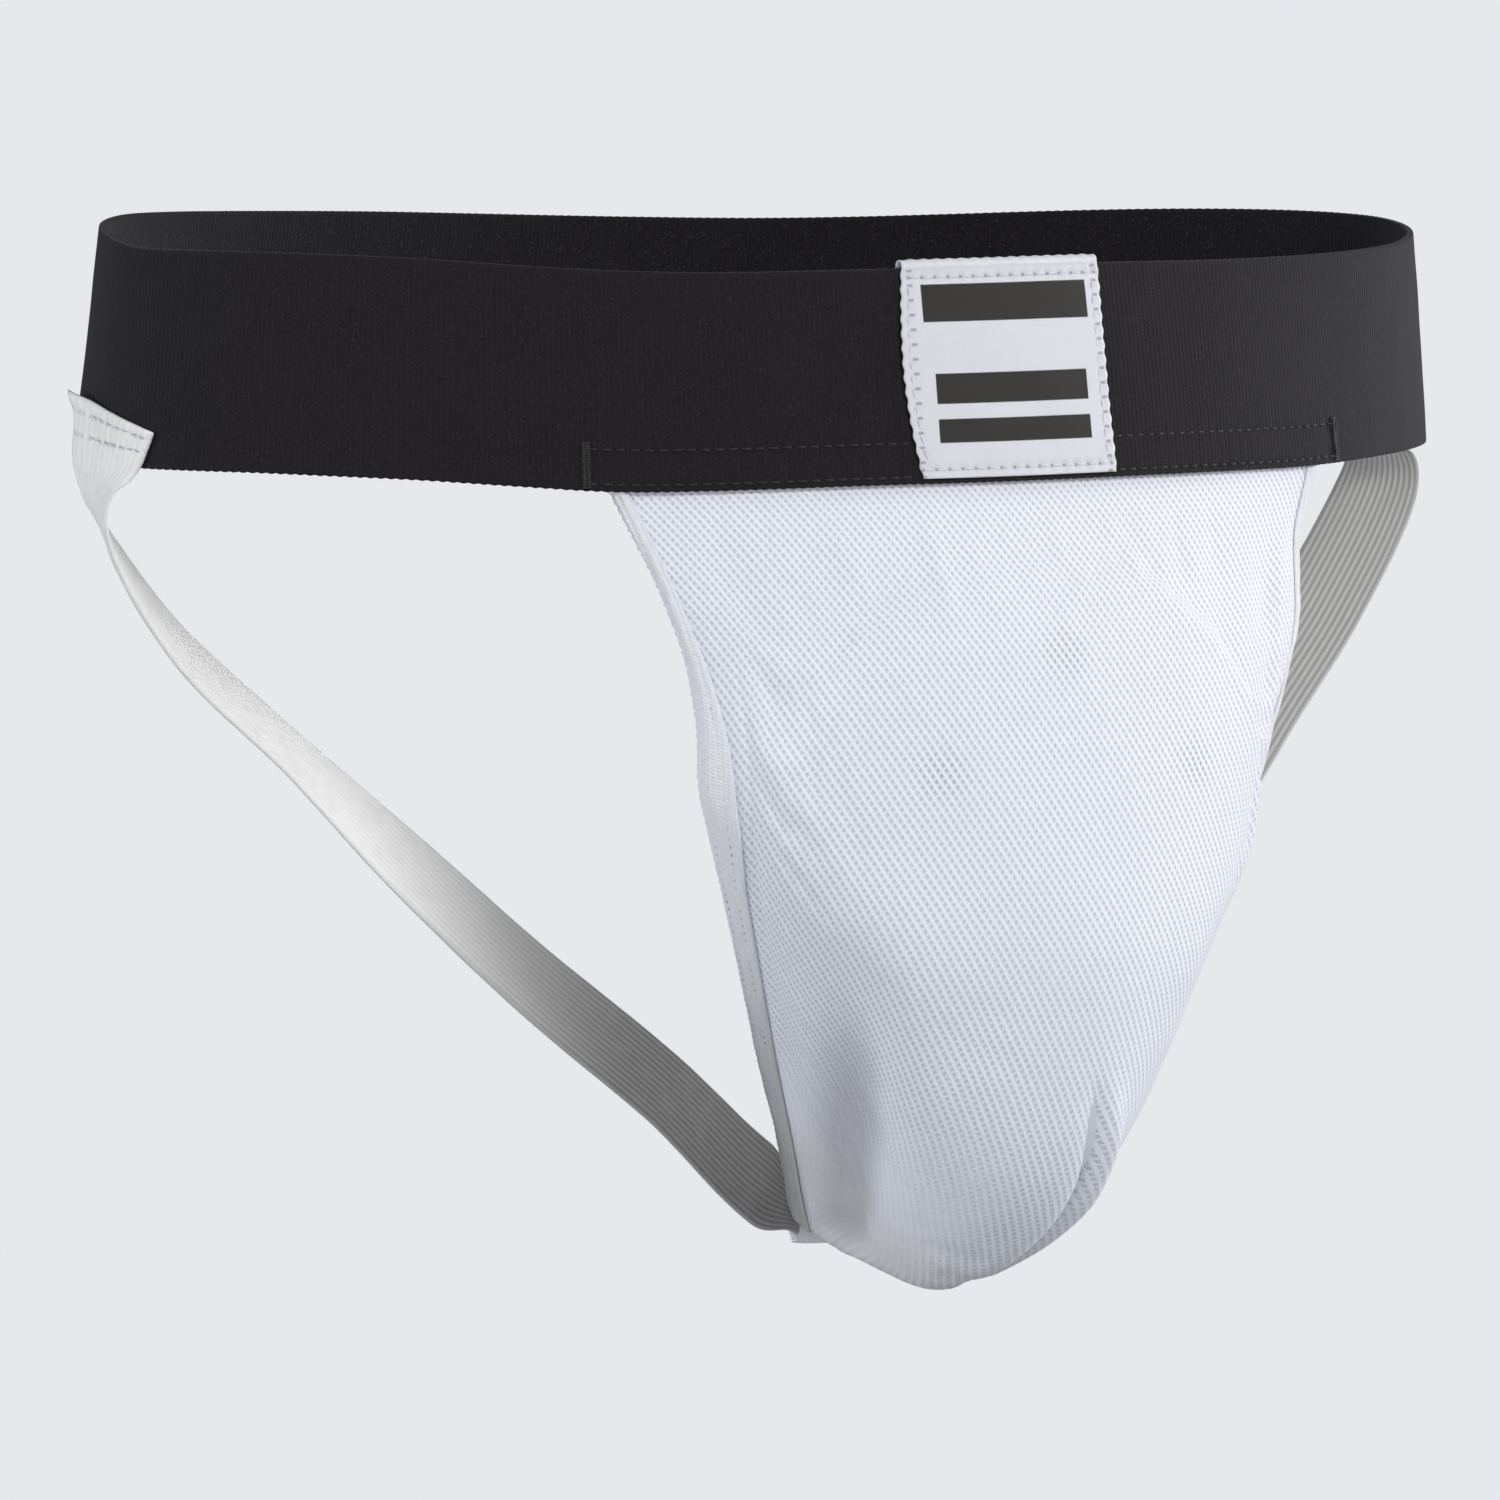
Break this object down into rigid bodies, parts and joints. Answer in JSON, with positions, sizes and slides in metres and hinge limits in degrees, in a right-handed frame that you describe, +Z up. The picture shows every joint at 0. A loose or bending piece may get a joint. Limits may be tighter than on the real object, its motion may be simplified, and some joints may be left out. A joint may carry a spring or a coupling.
{
  "type": "groin protector",
  "caption": "Athletic groin protector: wide elastic waistband with a folded front label, mesh pouch holding a removable vented hard cup, and leg straps joined at the crotch.",
  "frame": {"origin": "centre of the waist opening, at mid-height of the waistband", "axes": "+Z up the wearer's body, -Y to the front, +X towards the wearer's left hip"},
  "size_m": [0.3624, 0.2405, 0.2407],
  "materials": {
    "waistband_elastic": "matte woven elastic, fine vertical ribs",
    "label_satin": "woven satin",
    "white_thread": "sewing thread",
    "mesh_knit": "diamond mesh knit",
    "liner_knit": "smooth knit",
    "binding_tape": "soft folded tape",
    "black_thread": "sewing thread",
    "cup_plastic": "satin moulded polypropylene",
    "rim_elastomer": "soft moulded elastomer",
    "leg_elastic": "ribbed elastic"
  },
  "bodies": {
    "supporter": {"waistband": "waistband_elastic", "waistband_join": "waistband_elastic", "front_label": "label_satin", "label_stitching": "white_thread", "outer_pouch_panel": "mesh_knit", "pocket_liner": "liner_knit", "liner_hem": "liner_knit", "left_side_binding": "binding_tape", "right_side_binding": "binding_tape", "left_binding_stitching": "white_thread", "right_binding_stitching": "white_thread", "pouch_top_stitching": "black_thread", "left_pouch_bartack": "black_thread", "right_pouch_bartack": "black_thread", "left_hip_end": "leg_elastic", "right_hip_end": "leg_elastic", "left_hip_stitching": "white_thread", "right_hip_stitching": "white_thread", "crotch_patch": "binding_tape", "left_crotch_bartack": "white_thread", "right_crotch_bartack": "white_thread"},
    "cup": {"cup_shell": "cup_plastic", "cup_rim": "rim_elastomer"},
    "left_strap": {"left_leg_strap": "leg_elastic"},
    "right_strap": {"right_leg_strap": "leg_elastic"}
  },
  "joints": [
    {"name": "cup_slide", "type": "slide", "parent": "supporter", "child": "cup", "axis": [0, 0.5, 0.866], "range_m": [0, 0.25], "deforming": ["pocket_liner", "liner_hem"]},
    {"name": "left_strap_swing", "type": "hinge", "parent": "supporter", "child": "left_strap", "pos_m": [0.175, 0.0026, -0.026], "axis": [-0.6779, -0.1404, -0.7216], "range_deg": [-25, 25], "deforming": ["left_leg_strap"]},
    {"name": "right_strap_swing", "type": "hinge", "parent": "supporter", "child": "right_strap", "pos_m": [-0.175, 0.0026, -0.026], "axis": [-0.6779, 0.1404, 0.7216], "range_deg": [-25, 25], "deforming": ["right_leg_strap"]}
  ]
}
